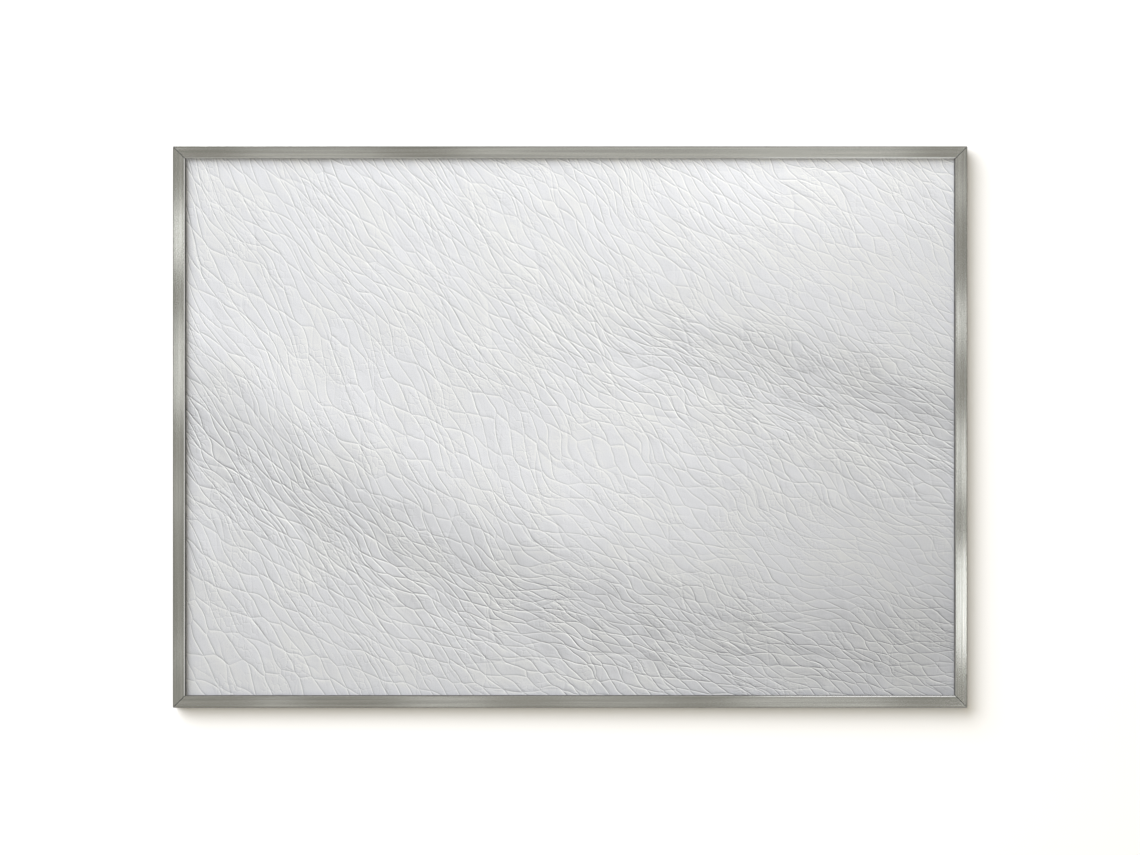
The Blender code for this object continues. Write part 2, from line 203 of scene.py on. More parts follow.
# %% [markdown]
# ## Wall and floor
#
# The board hangs on a plain white wall. A photographer's backdrop would do: one sheet that comes down the
# wall and bends forward onto the floor. It is made as one here, from a flat grid, with the bend spun on its
# lower edge. The part of the wall that the board covers is cut out, and the sheet is clear from behind, so
# that the rear of the board can be looked at too.
#
# The sheet is hidden from mirror rays and from the rays that bounce between matt surfaces. A white floor
# would otherwise brighten the bottom rail, and lay a grey haze on the wall above the frame, which the
# photograph doesn't show. It still takes the lamps' light and the frame's shadow.

# %% Cut the wall, with its opening behind the board
WALL_HALF_WIDTH = 4.0
WALL_TOP = 3.2
BEND_RADIUS = 0.4
FLOOR_HEIGHT = -1.5
OPENING_INSET = 0.03

bm = bmesh.new()
bmesh.ops.create_grid(bm, x_segments=1, y_segments=1, size=1)
wall_low = FLOOR_HEIGHT + BEND_RADIUS
bmesh.ops.scale(bm, vec=(WALL_HALF_WIDTH, (WALL_TOP - wall_low) / 2, 1), verts=bm.verts)
bmesh.ops.translate(bm, vec=(0, (WALL_TOP + wall_low) / 2, 0), verts=bm.verts)
bmesh.ops.rotate(bm, cent=(0, 0, 0), matrix=Matrix.Rotation(math.pi / 2, 3, "X"), verts=bm.verts)
opening = [(axis, sign * (frame_high[axis] - OPENING_INSET)) for axis in (0, 2) for sign in (-1, 1)]
for axis, place in opening:
    point, normal = Vector(), Vector()
    point[axis], normal[axis] = place, 1
    bmesh.ops.bisect_plane(bm, geom=[*bm.verts, *bm.edges, *bm.faces], plane_co=point, plane_no=normal)
covered = [f for f in bm.faces if f.calc_center_median().length < OPENING_INSET]
bmesh.ops.delete(bm, geom=covered, context="FACES")
print("wall faces:", len(bm.faces))

# %% Spin the bend and run out the floor
FLOOR_LENGTH = 5.0
BEND_STEPS = 12
NEAR = 0.001

foot = [e for e in bm.edges if all(v.co.z < wall_low + NEAR for v in e.verts)]
spun = bmesh.ops.spin(
    bm, geom=foot, cent=(0, -BEND_RADIUS, wall_low), axis=(1, 0, 0), dvec=(0, 0, 0),
    angle=-math.pi / 2, steps=BEND_STEPS, use_merge=False, use_duplicate=False,
)
toe = [part for part in spun["geom_last"] if isinstance(part, bmesh.types.BMEdge)]
run = bmesh.ops.extrude_edge_only(bm, edges=toe)
run_verts = [part for part in run["geom"] if isinstance(part, bmesh.types.BMVert)]
bmesh.ops.translate(bm, vec=(0, -FLOOR_LENGTH, 0), verts=run_verts)
bmesh.ops.recalc_face_normals(bm, faces=bm.faces)
if sum(f.normal.y * f.calc_area() for f in bm.faces) > 0:
    bmesh.ops.reverse_faces(bm, faces=bm.faces)
print("faces with the bend and the floor:", len(bm.faces))

# %% Stand the backdrop behind the board
backdrop_mesh = bpy.data.meshes.new("backdrop")
bm.to_mesh(backdrop_mesh)
bm.free()
backdrop_mesh.shade_smooth()
backdrop = bpy.data.objects.new("backdrop", backdrop_mesh)
backdrop.visible_glossy = False
backdrop.visible_diffuse = False
bpy.context.scene.collection.objects.link(backdrop)
print("backdrop corners:", len(backdrop_mesh.vertices))

# %% Give the backdrop a matt white paint that is clear from behind
paint, tree, shader, place = new_material("wall_paint")
mottle = noise(tree, place, 0.6, 3.0)
tone = mix_colours(tree, mottle, (0.92, 0.92, 0.915, 1), (0.955, 0.955, 0.95, 1))
set_shader(tree, shader, {"Base Color": tone, "Roughness": 0.9, "Specular IOR Level": 0.2})
clear = add_node(tree, "BsdfTransparent")
from_behind = add_node(tree, "NewGeometry").outputs["Backfacing"]
one_sided = add_node(tree, "MixShader", {0: from_behind, 1: shader.outputs[0], 2: clear.outputs[0]})
attach(tree, tree.nodes["Material Output"].inputs["Surface"], one_sided.outputs[0])
backdrop_mesh.materials.append(paint)
print("backdrop painted")

# %% [markdown]
# ## Light
#
# The shadows in the photograph tell where the light comes from. The frame shades the print below its top rail
# and beside its left rail, and the wall beyond its right and bottom rails, in one long soft fade. So the main
# light is a large soft lamp, up and to the left. It is a little cool. The rest of the room adds a weaker and
# warmer light, which is why the shadows are brown close to the frame. Only matt surfaces take up that warm
# tint here: mirrors and the camera see a plain grey room. A small fill lamp stands where the camera is, and
# throws no shadow that the camera could see.
#
# The glass would mirror both lamps as pale discs, so they are hidden from mirror rays and from rays through
# glass. A third lamp stands behind the wall. It lights nothing but the board's back, for views from there.

# %% Lamps and room light
KEY_PLACE = Vector((-3.6, -4.6, 3.7))
KEY_SIZE = 7.0
KEY_POWER = 662
KEY_COLOUR = (0.94, 0.95, 1.0)
ROOM_COLOUR = (0.745, 0.66, 0.48)
ROOM_STRENGTH = 0.44
FILL_SIZE = 1.0
FILL_POWER = 26
FILL_COLOUR = (1.0, 0.985, 0.94)
REAR_PLACE = Vector((-1.8, 3.6, 2.2))
REAR_SIZE = 2.5
REAR_POWER = 170
WHITE = (1, 1, 1, 1)


def add_lamp(name, shape, place, target, size, power, colour):
    data = bpy.data.lights.new(name, "AREA")
    data.shape = shape
    data.size, data.size_y = size
    data.energy = power
    data.color = colour
    lamp = bpy.data.objects.new(name, data)
    lamp.location = place
    lamp.rotation_euler = (Vector(target) - Vector(place)).to_track_quat("-Z", "Y").to_euler()
    lamp.visible_camera = False
    bpy.context.scene.collection.objects.link(lamp)
    return lamp


key = add_lamp("key", "DISK", KEY_PLACE, (0, 0, 0), (KEY_SIZE, KEY_SIZE), KEY_POWER, KEY_COLOUR)
fill = add_lamp("fill", "DISK", camera.location, (0, 0, 0), (FILL_SIZE, FILL_SIZE), FILL_POWER, FILL_COLOUR)
for lamp in (key, fill):
    lamp.visible_glossy = False
    lamp.visible_transmission = False
add_lamp("rear", "DISK", REAR_PLACE, (0, 0, 0), (REAR_SIZE, REAR_SIZE), REAR_POWER, WHITE[:3])
world = bpy.data.worlds.new("room")
world.use_nodes = True
bpy.context.scene.world = world
tree = world.node_tree
matt = add_node(tree, "LightPath").outputs["Is Diffuse Ray"]
room_light = {"Color": mix_colours(tree, matt, WHITE, (*ROOM_COLOUR, 1)), "Strength": ROOM_STRENGTH}
for name, value in room_light.items():
    attach(tree, tree.nodes["Background"].inputs[name], value)
bpy.context.scene.view_settings.view_transform = "Standard"
print("main lamp", KEY_SIZE, "m across, at", [round(v, 2) for v in KEY_PLACE])

# %% [markdown]
# ### Cards for the metal
#
# Flat metal is dull until something bright stands in the mirror's line. A photographer sets white cards
# beside the camera for that. The rails in the photograph have soft bright stretches, and each one calls for a
# card. A rail lies flat, and the camera faces it, so a card in the camera's plane shows up half as far from
# the picture's middle as it stands. The cards stay outside the area that the glass mirrors.
#
# A card is an area lamp that gives off the same light from all of its face, so its power follows from its
# brightness and its size.

# %% Stand a card for each bright stretch
CARD_REACH = 0.70
CARD_GAP = 0.03
CARD_COLOUR = (0.88, 0.915, 1.0)
# Each card has its rail, the middle and the length of its bright stretch along the rail, and a brightness
CARDS = (
    ("left", 0.248, 0.080, 3.2), ("left", 0.080, 0.120, 1.9), ("left", -0.090, 0.060, 0.6),
    ("left", -0.292, 0.030, 0.9),
    ("right", 0.305, 0.040, 1.35), ("right", 0.138, 0.070, 2.3), ("right", -0.042, 0.100, 2.35),
    ("right", -0.230, 0.145, 3.9),
    ("top", -0.335, 0.180, 0.75), ("top", 0.025, 0.340, 0.78), ("top", 0.320, 0.250, 1.02),
    ("bottom", -0.380, 0.040, 0.9), ("bottom", -0.165, 0.110, 0.8), ("bottom", 0.060, 0.140, 0.45),
    ("bottom", 0.315, 0.200, 0.85),
)


def add_card(name, spot, target, size, brightness):
    power = brightness * math.pi * size[0] * size[1]
    return add_lamp(name, "RECTANGLE", spot, target, size, power, CARD_COLOUR)


for index, (side, middle, length, brightness) in enumerate(CARDS):
    axis = 0 if side in ("left", "right") else 2
    sign = -1 if side in ("left", "bottom") else 1
    spot = Vector((0, camera.location.y, 0))
    spot[axis] = sign * (2 * frame_high[axis] + CARD_GAP + CARD_REACH / 2)
    spot[2 - axis] = 2 * middle
    size = (CARD_REACH, 2 * length) if axis == 0 else (2 * length, CARD_REACH)
    add_card(f"card_{index}", spot, (spot.x, 0, spot.z), size, brightness)
print(len(CARDS), "cards in the camera's plane")

# %% [markdown]
# ### Cards for the chamfers
#
# The small chamfer at the sight edge shows as a bright hairline on some sides. It leans by half a right
# angle, so it turns the camera's view by a whole one: down from the top rail, up from the bottom rail, and to
# the right from the left rail. A card stands in each of these directions. Matt surfaces don't see these
# cards, which stand close to the board and would light the wall.

# %% Stand a card for each chamfer that shines
# Each card has its place, the point that it faces, its size and a brightness
CHAMFER_CARDS = (
    ((0.60, -0.22, -1.45), (0.60, -0.22, 0.0), (0.45, 0.40), 0.5),
    ((0.60, -0.22, 1.60), (0.60, -0.22, 0.0), (0.45, 0.40), 1.0),
    ((2.20, -0.40, 0.0), (0.0, -0.40, 0.0), (0.70, 1.30), 0.35),
)
for index, facts in enumerate(CHAMFER_CARDS):
    add_card(f"chamfer_card_{index}", *facts).visible_diffuse = False
print(len(CHAMFER_CARDS), "cards for the chamfers")

# %% [markdown]
# ## Shared effects
#
# Two effects serve several finishes, so each is a node group with named inputs. `edge_wear` finds the sharp
# edges of a piece by comparing its true normal with one that is rounded over a small radius: the two differ
# only near an edge. `drawn_lines` is the fine grain of metal that was drawn or brushed one way: noise that is
# stretched many times along the draw.

# %% Group: edge wear
edge_wear, ins, outs = new_group("edge_wear", {"Radius": "Float", "Place": "Vector"}, {"Mask": "Float"})
rounded = add_node(edge_wear, "Bevel", {"Radius": ins["Radius"]}, samples=4).outputs["Normal"]
true_normal = add_node(edge_wear, "NewGeometry").outputs["Normal"]
likeness = do_vector(edge_wear, "DOT_PRODUCT", rounded, true_normal)
edge = ease(edge_wear, likeness, 0.985, 0.80)
patchy = ease(edge_wear, noise(edge_wear, ins["Place"], 0.004, 3.0, 0.6), 0.35, 0.65, 0.35, 1.0)
attach(edge_wear, outs["Mask"], do_math(edge_wear, "MULTIPLY", edge, patchy))
print("edge_wear:", len(edge_wear.nodes), "nodes")

# %% Group: drawn lines
drawn_lines, ins, outs = new_group(
    "drawn_lines", {"Place": "Vector", "Squeeze": "Vector"}, {"Lines": "Float", "Streaks": "Float"}
)
squeezed = do_vector(drawn_lines, "MULTIPLY", ins["Place"], ins["Squeeze"])
attach(drawn_lines, outs["Lines"], noise(drawn_lines, squeezed, 0.0006, 3.0, 0.6))
attach(drawn_lines, outs["Streaks"], noise(drawn_lines, squeezed, 0.0035, 2.0, 0.5))
print("drawn_lines:", len(drawn_lines.nodes), "nodes")

# %% [markdown]
# ## The rails: satin aluminium
#
# The rails are drawn aluminium, brushed along their length and anodised to a warm nickel tone. Under the
# brush the metal keeps a sheen that spreads across the lines much more than along them. The shader's
# anisotropy does that, with its tangent set across the rail. The wide rails and the tall ones are brushed in
# different directions, so each pair has a material of its own, from one recipe.
#
# Some narrow lines are drawn by place, and most of them are painted light and shade. A painted highlight lies
# on the small chamfer at the sight edge, stronger on some sides than on others, and along the top the rail's
# inner wall behind the chamfer is painted pale as well, as painted light. At the left that wall gets painted
# shade, and so does the outer corner all round. And each mitre shows as a fine dark joint, with a painted
# highlight along one side of it.

# %% Group: the rail's narrow lines, mostly painted highlights and painted shade
SIGHT_HALF = (0.4960, 0.3460)
CHAMFER = 0.0011
INNER_WALL = (0.0004, 0.0002)
TOP_EDGE = (0.3450, 0.3455)
OUTER_CORNER = (0.0136, 0.0148)
SEAM_HALF = 0.0005

rail_lines_and_painted_light, ins, outs = new_group("rail_lines_and_painted_light", {"Place": "Vector"}, {"Bright": "Float", "Joints and Painted Shade": "Float"})
x, y, z = split(rail_lines_and_painted_light, ins["Place"])
across = do_math(rail_lines_and_painted_light, "ABSOLUTE", x)
upward = do_math(rail_lines_and_painted_light, "ABSOLUTE", z)
from_side = do_math(rail_lines_and_painted_light, "SUBTRACT", across, SIGHT_HALF[0])
from_level = do_math(rail_lines_and_painted_light, "SUBTRACT", upward, SIGHT_HALF[1])
inward = do_math(rail_lines_and_painted_light, "MAXIMUM", from_side, from_level)
seam = do_math(rail_lines_and_painted_light, "SUBTRACT", from_side, from_level)
face = frame_low[1]
chamfer = ease(rail_lines_and_painted_light, inward, CHAMFER * 1.25, CHAMFER * 0.95)
shallow = ease(rail_lines_and_painted_light, y, face + CHAMFER * 1.15, face + CHAMFER * 0.9)
# Painted highlight on the chamfer. Its strength changes from side to side: it grows to the right along the
# top and bottom rails, and it is stronger on the left rail than on the right
chamfer_highlight = do_math(rail_lines_and_painted_light, "MULTIPLY", chamfer, shallow)
on_wide = ease(rail_lines_and_painted_light, x, 0.15, 0.42, 0.2, 0.9)
on_tall = ease(rail_lines_and_painted_light, x, 0.1, -0.1, 0.5, 0.8)
chamfer_highlight = do_math(rail_lines_and_painted_light, "MULTIPLY", chamfer_highlight, ease(rail_lines_and_painted_light, seam, -0.001, 0.001, on_wide, on_tall))
# A painted highlight along one side of each mitre joint
mitre_highlight_starts = ease(rail_lines_and_painted_light, seam, -SEAM_HALF * 3.5, -SEAM_HALF * 2.5)
mitre_highlight_ends = ease(rail_lines_and_painted_light, seam, -SEAM_HALF * 1.2, -SEAM_HALF * 1.6, 0.0, 0.2)
mitre_highlight = do_math(rail_lines_and_painted_light, "MULTIPLY", mitre_highlight_starts, mitre_highlight_ends)
# Painted light on the top rail's chamfer and on its inner wall, which the lip otherwise leaves in shade
at_top = ease(rail_lines_and_painted_light, z, *TOP_EDGE, 0.0, 0.7)
painted_top_wall_light = do_math(rail_lines_and_painted_light, "MULTIPLY", chamfer, at_top)
painted_highlights = do_math(rail_lines_and_painted_light, "MAXIMUM", chamfer_highlight, mitre_highlight)
attach(rail_lines_and_painted_light, outs["Bright"], do_math(rail_lines_and_painted_light, "MAXIMUM", painted_highlights, painted_top_wall_light))
joint = ease(rail_lines_and_painted_light, do_math(rail_lines_and_painted_light, "ABSOLUTE", seam), SEAM_HALF * 1.4, SEAM_HALF)
deep = do_math(rail_lines_and_painted_light, "SUBTRACT", 1.0, shallow)
# Painted shade on the inner wall of the left rail
painted_wall_shade = do_math(rail_lines_and_painted_light, "MULTIPLY", ease(rail_lines_and_painted_light, inward, *INNER_WALL), deep)
painted_wall_shade = do_math(rail_lines_and_painted_light, "MULTIPLY", painted_wall_shade, ease(rail_lines_and_painted_light, x, 0.1, -0.1, 0.0, 0.5))
# Painted shade along the rails' outer corner
painted_outer_shade = ease(rail_lines_and_painted_light, inward, *OUTER_CORNER, 0.0, 0.40)
joints_and_painted_shade = do_math(rail_lines_and_painted_light, "MAXIMUM", joint, painted_wall_shade)
attach(rail_lines_and_painted_light, outs["Joints and Painted Shade"], do_math(rail_lines_and_painted_light, "MAXIMUM", joints_and_painted_shade, painted_outer_shade))
print("rail_lines_and_painted_light:", len(rail_lines_and_painted_light.nodes), "nodes")

# %% Satin aluminium for both directions
RAIL_ROUGHNESS = 0.17
RAIL_DEEP, RAIL_PALE = (0.505, 0.495, 0.433, 1), (0.625, 0.612, 0.536, 1)
RAIL_LINE, RAIL_WORN = (0.430, 0.418, 0.364, 1), (0.68, 0.665, 0.60, 1)
# Colours for the painted highlights, and for the mitre joints together with the painted shade
RAIL_PAINTED_HIGHLIGHT, RAIL_JOINT_AND_SHADE = (0.95, 0.94, 0.88, 1), (0.085, 0.09, 0.085, 1)
BRUSH_DEPTH = 0.000004
LONG_WAY = 0.012


def satin_rail(name, squeeze, tangent):
    material, tree, shader, place = new_material(name)
    lines = use_group(tree, drawn_lines, {"Place": place, "Squeeze": squeeze})
    worn = use_group(tree, edge_wear, {"Radius": 0.0005, "Place": place})["Mask"]
    narrow = use_group(tree, rail_lines_and_painted_light, {"Place": place})
    streaks = ease(tree, lines["Streaks"], 0.32, 0.68)
    colour = mix_colours(tree, streaks, RAIL_DEEP, RAIL_PALE)
    colour = mix_colours(tree, do_math(tree, "MULTIPLY", lines["Lines"], 0.35), colour, RAIL_LINE)
    colour = mix_colours(tree, do_math(tree, "MULTIPLY", worn, 0.35), colour, RAIL_WORN)
    # Painted highlights and painted shade go on here. The dark share also holds the real mitre joints
    colour = mix_colours(tree, narrow["Bright"], colour, RAIL_PAINTED_HIGHLIGHT)
    colour = mix_colours(tree, narrow["Joints and Painted Shade"], colour, RAIL_JOINT_AND_SHADE)
    rough = ease(tree, lines["Lines"], 0.3, 0.7, RAIL_ROUGHNESS - 0.02, RAIL_ROUGHNESS + 0.03)
    values = {
        "Base Color": colour,
        "Metallic": 1.0,
        "Roughness": rough,
        "Anisotropic": 1.0,
        "Tangent": combine(tree, *tangent),
    }
    set_shader(tree, shader, values, lines["Lines"], BRUSH_DEPTH)
    return material


wide_rail = satin_rail("satin_aluminium_wide", (LONG_WAY, 1, 1), (0, 0, 1))
tall_rail = satin_rail("satin_aluminium_tall", (1, 1, LONG_WAY), (1, 0, 0))
dress(wide_rail, "frame_rail_top", "frame_rail_bottom")
dress(tall_rail, "frame_rail_left", "frame_rail_right")

# %% [markdown]
# ## The print: white leather
#
# Behind the glass lies a printed film: a picture of soft white leather, life size. A photograph of leather
# would be the quick way, but then the board would carry somebody's picture. So the hide is built up from
# noise and cells, as a pattern of its own.
#
# It is a picture, so its light and shade are ink and don't follow the room's light. They are made as a
# printer's relief would be. A node group gives the height of each point of the hide, in layers: folds,
# cushions, long creases, wrinkles and grain. The ink then reads that height.

# %% The folds of the hide
# Each fold has a centre line z = a + b x + c x x, a half width, a pull, and the x where it sets in
FOLDS = (
    {"line": (-0.26, -0.29, 0.45), "width": 0.070, "pull": 0.46, "starts": (-0.9, -0.7), "contrast": 0.175},
    {"line": (0.10, -0.08, -0.31), "width": 0.060, "pull": 0.42, "starts": (-0.2, 0.15), "contrast": 0.12},
)


def fold_gap(tree, fold, x, z):
    """How far a point lies above the centre line of a fold."""
    a, b, c = fold["line"]
    line = do_math(tree, "MULTIPLY_ADD", x, do_math(tree, "MULTIPLY_ADD", x, c, b), a)
    return do_math(tree, "SUBTRACT", z, line)


print("folds of the hide:", len(FOLDS))

# %% Helpers that bend a pattern and sink a crease


def sway(tree, place, vector, size, reach):
    """Moves a pattern's points about by soft noise."""
    shift = do_vector(tree, "SUBTRACT", noise(tree, place, size, 1.0, output="Color"), (0.5, 0.5, 0.5))
    return do_vector(tree, "ADD", vector, do_vector(tree, "SCALE", shift, reach))


def wander(tree, place, vector, last_reach):
    """Sways by a hand's width first and by a finger's after, so that no crease runs straight."""
    return sway(tree, place, sway(tree, place, vector, 0.085, 0.030), 0.022, last_reach)


def sunk(tree, distance, width):
    """0 in a crease, and up to 1 away from it."""
    fall = do_math(tree, "EXPONENT", do_math(tree, "MULTIPLY", distance, -1 / width))
    return do_math(tree, "SUBTRACT", 1.0, fall)


print("helpers for creases are ready")

# %% [markdown]
# ### Folds and cushions
#
# A hide is a net of creases round low cushions. The creases cross at a narrow angle, so the cushions are
# lozenges. Cells whose points are little disturbed give such creases, because their walls join up to long
# lines. The net is laid in leaning axes, which turns square cells into lozenges.
#
# Where the hide was folded, the creases crowd together and turn towards the fold. Moving a thousand creases
# by hand would be endless. Instead the net's own coordinates are bent before it is laid: they run faster
# across a fold, so more creases fit there.

# %% Group: the hide's folds
# The creases turn from steep at the upper left to flat at the lower right
ARCH = -0.10
FAN = 0.65

hide, ins, outs = new_group("hide_height", {"Place": "Vector"}, {"Height": "Float"})
x, _, z = split(hide, ins["Place"])
pulled = do_math(hide, "MULTIPLY_ADD", do_math(hide, "MULTIPLY", x, x), ARCH, z)
pulled = do_math(hide, "MULTIPLY_ADD", do_math(hide, "MULTIPLY", x, z), FAN, pulled)
for fold in FOLDS:
    gap = do_math(hide, "DIVIDE", fold_gap(hide, fold, x, z), fold["width"])
    strength = ease(hide, x, *fold["starts"], 0.0, fold["width"] * fold["pull"])
    pulled = do_math(hide, "MULTIPLY_ADD", do_math(hide, "TANH", gap), strength, pulled)
folded = combine(hide, x, 0.0, pulled)
swayed = sway(hide, ins["Place"], folded, 0.26, 0.08)
print("hide_height with its folds:", len(hide.nodes), "nodes")

# %% Cushions between two sets of creases
# The cushions' length along each set of creases, and the two sets' angles below the level
CUSHION_LENGTHS = (0.023, 0.037)
CUSHION_ANGLES = (math.radians(21), math.radians(57))
CREASE_WIDTH = 0.0009
CUSHION_SLOPE = 0.007
# A crease is faint where its patches' noise is below the first value, and deep above the second
PATCHY = (0.38, 0.60)

near = wander(hide, folded, swayed, 0.004)
low, high = CUSHION_ANGLES
spread = math.sin(high - low)
share = CUSHION_LENGTHS[0] / CUSHION_LENGTHS[1]
first_way = (math.sin(high) / spread, 0, math.cos(high) / spread)
second_way = (-math.sin(low) / spread * share, 0, -math.cos(low) / spread * share)
net = combine(hide, *(do_vector(hide, "DOT_PRODUCT", near, way) for way in (first_way, second_way)), 0.0)
walls = cell_walls(hide, net, CUSHION_LENGTHS[0], 0.36)
depth = ease(hide, noise(hide, net, 0.055, 1.0), *PATCHY, 0.75, 1.10)
creases = sunk(hide, walls, CREASE_WIDTH)
cushions = do_math(hide, "MULTIPLY_ADD", sunk(hide, walls, CUSHION_SLOPE), 0.12, creases)
height = do_math(hide, "MULTIPLY", cushions, depth)
print("hide_height with its cushions:", len(hide.nodes), "nodes")

# %% [markdown]
# ### Long creases, wrinkles and grain
#
# Some creases on a hide run on past many cushions, each in its own direction. Four more nets of cells give
# them, stretched four times along their direction and faint in patches, so that a crease comes and goes.
# Between all of these the skin is drawn into fine wrinkles, and under everything lies its grain. Small cells
# and fine noise are enough for those, since nobody sees them one by one.

# %% Long creases across the cushions
# Each set has degrees below the level, spacing, width, least and greatest depth, and the size of a patch
LONG_CREASES = (
    (62, 0.046, 0.0009, 0.00, 0.80, 0.070),
    (38, 0.050, 0.0009, 0.00, 0.50, 0.070),
    (94, 0.040, 0.0008, 0.00, 0.35, 0.040),
    (2, 0.036, 0.0008, 0.00, 0.20, 0.040),
)
STRETCH = 4.0

for index, (angle, spacing, width, least, most, patch) in enumerate(LONG_CREASES):
    angle = math.radians(angle)
    here = do_vector(hide, "ADD", folded, (0.37 * index, 0.53 * index, 0.29 * index))
    near = wander(hide, here, swayed, 0.0055)
    along = do_vector(hide, "DOT_PRODUCT", near, (math.cos(angle) / STRETCH, 0, -math.sin(angle) / STRETCH))
    across = do_vector(hide, "DOT_PRODUCT", near, (math.sin(angle), 0, math.cos(angle)))
    along, across = do_math(hide, "ADD", along, 0.7 * index), do_math(hide, "ADD", across, 0.9 * index)
    shifted = combine(hide, along, across, 0.0)
    crease = sunk(hide, cell_walls(hide, shifted, spacing, 0.95), width)
    depth = ease(hide, noise(hide, here, patch, 1.0), *PATCHY, least, most)
    height = do_math(hide, "MULTIPLY_ADD", crease, depth, height)
print("sets of long creases:", len(LONG_CREASES))

# %% Fine wrinkles and grain
WRINKLE_SIZE, WRINKLE_WIDTH = 0.0078, 0.0005
GRAIN_SIZE, GRAIN_DEPTH = 0.0022, 0.26

bent = split(hide, sway(hide, ins["Place"], folded, 0.006, 0.0045))
wrinkles = cell_walls(hide, combine(hide, bent[0], bent[2], 0.0), WRINKLE_SIZE)
wrinkles = sunk(hide, wrinkles, WRINKLE_WIDTH)
wrinkle_depth = ease(hide, noise(hide, ins["Place"], 0.028, 1.0), 0.42, 0.66, 0.03, 0.55)
height = do_math(hide, "MULTIPLY_ADD", wrinkles, wrinkle_depth, height)
grain = noise(hide, do_vector(hide, "MULTIPLY", ins["Place"], (1, 1, 0.5)), GRAIN_SIZE, 2.0)
height = do_math(hide, "MULTIPLY_ADD", grain, GRAIN_DEPTH, height)
attach(hide, outs["Height"], height)
print("hide_height:", len(hide.nodes), "nodes")

# %% [markdown]
# ### From height to ink
#
# The height is read twice, a millimetre apart, towards the light in the picture. Where the second reading is
# lower, the surface faces that light and is paler. Crests are held back a little, because paper white is as
# bright as a print gets.
#
# The folds lie half in shade, and there the relief is stronger too. The rest of the picture is lit unevenly,
# so its tone is a sum of soft slopes and bells. An image would do the same, but sums keep the film sharp at
# any distance.

# %% Relief from the height
RELIEF_STEP = 0.0009
RELIEF_ANGLE = math.radians(50)
CREST_GAIN, CREST_LIMIT = 1.12, 0.80

leather, tree, shader, place = new_material("leather_print")
x, _, z = split(tree, place)
towards_light = (RELIEF_STEP * math.cos(RELIEF_ANGLE), 0, RELIEF_STEP * math.sin(RELIEF_ANGLE))
here = use_group(tree, hide, {"Place": place})["Height"]
there = use_group(tree, hide, {"Place": do_vector(tree, "ADD", place, towards_light)})["Height"]
relief = do_math(tree, "SUBTRACT", here, there)
softer = do_math(tree, "MULTIPLY", do_math(tree, "TANH", relief), CREST_LIMIT)
relief = do_math(tree, "MINIMUM", do_math(tree, "MULTIPLY", relief, CREST_GAIN), softer)
print("the height is read", round(RELIEF_STEP * 1000, 1), "mm apart")

# %% Contrast and tone over the whole hide
BASE_CONTRAST = 0.225


def bell(tree, value, width):
    square = do_math(tree, "POWER", do_math(tree, "DIVIDE", value, width), 2.0)
    return do_math(tree, "EXPONENT", do_math(tree, "MULTIPLY", square, -1.0))


contrast = BASE_CONTRAST
for fold in FOLDS:
    near = bell(tree, fold_gap(tree, fold, x, z), fold["width"] * 1.2)
    strength = ease(tree, x, *fold["starts"], 0.0, fold["contrast"])
    contrast = do_math(tree, "MULTIPLY_ADD", near, strength, contrast)

# The tone falls off downwards, to the right, to both sides and most of all to the lower right corner
tone = do_math(tree, "MULTIPLY_ADD", z, 0.16, 0.87)
tone = do_math(tree, "MULTIPLY_ADD", x, -0.025, tone)
tone = do_math(tree, "MULTIPLY_ADD", do_math(tree, "MULTIPLY", x, x), -0.145, tone)
tone = do_math(tree, "MULTIPLY_ADD", do_math(tree, "MULTIPLY", x, z), 0.14, tone)
left_gap, right_gap = (fold_gap(tree, fold, x, z) for fold in FOLDS)
hollow = bell(tree, do_math(tree, "SUBTRACT", left_gap, 0.03), 0.07)
tone = do_math(tree, "MULTIPLY_ADD", hollow, -0.045, tone)
ridge = bell(tree, do_math(tree, "SUBTRACT", left_gap, 0.16), 0.06)
tone = do_math(tree, "MULTIPLY_ADD", ridge, ease(tree, x, 0.3, 0.0, 0.0, 0.025), tone)
dip = bell(tree, do_math(tree, "SUBTRACT", right_gap, 0.03), 0.05)
tone = do_math(tree, "MULTIPLY_ADD", dip, ease(tree, x, -0.05, 0.35, 0.0, -0.055), tone)
print("tone and contrast follow", len(FOLDS), "folds")

# %% Smooth spots
# Where the hide lies smooth: middle and reach, both as (x, z), gain in tone, gain in contrast
SMOOTH_SPOTS = (
    ((0.27, 0.34), (0.20, 0.10), 0.045, 0.0),
    ((0.07, -0.02), (0.15, 0.09), 0.030, -0.03),
    ((0.44, 0.19), (0.26, 0.08), 0.0, -0.11),
    ((0.38, -0.17), (0.24, 0.07), 0.0, -0.11),
    ((0.46, -0.36), (0.22, 0.12), 0.0, -0.11),
)

for middle, reach, paler, rougher in SMOOTH_SPOTS:
    side = bell(tree, do_math(tree, "SUBTRACT", x, middle[0]), reach[0])
    level = bell(tree, do_math(tree, "SUBTRACT", z, middle[1]), reach[1])
    near = do_math(tree, "MULTIPLY", side, level)
    tone = do_math(tree, "MULTIPLY_ADD", near, paler, tone)
    contrast = do_math(tree, "MULTIPLY_ADD", near, rougher, contrast)
print("smooth spots:", len(SMOOTH_SPOTS))

# %% The print's inks
PRINT_WHITE = 0.926
INK_POWER = 2.2
COOL_INK, WARM_INK = (0.988, 0.986, 1.057, 1), (1.004, 0.997, 1.023, 1)

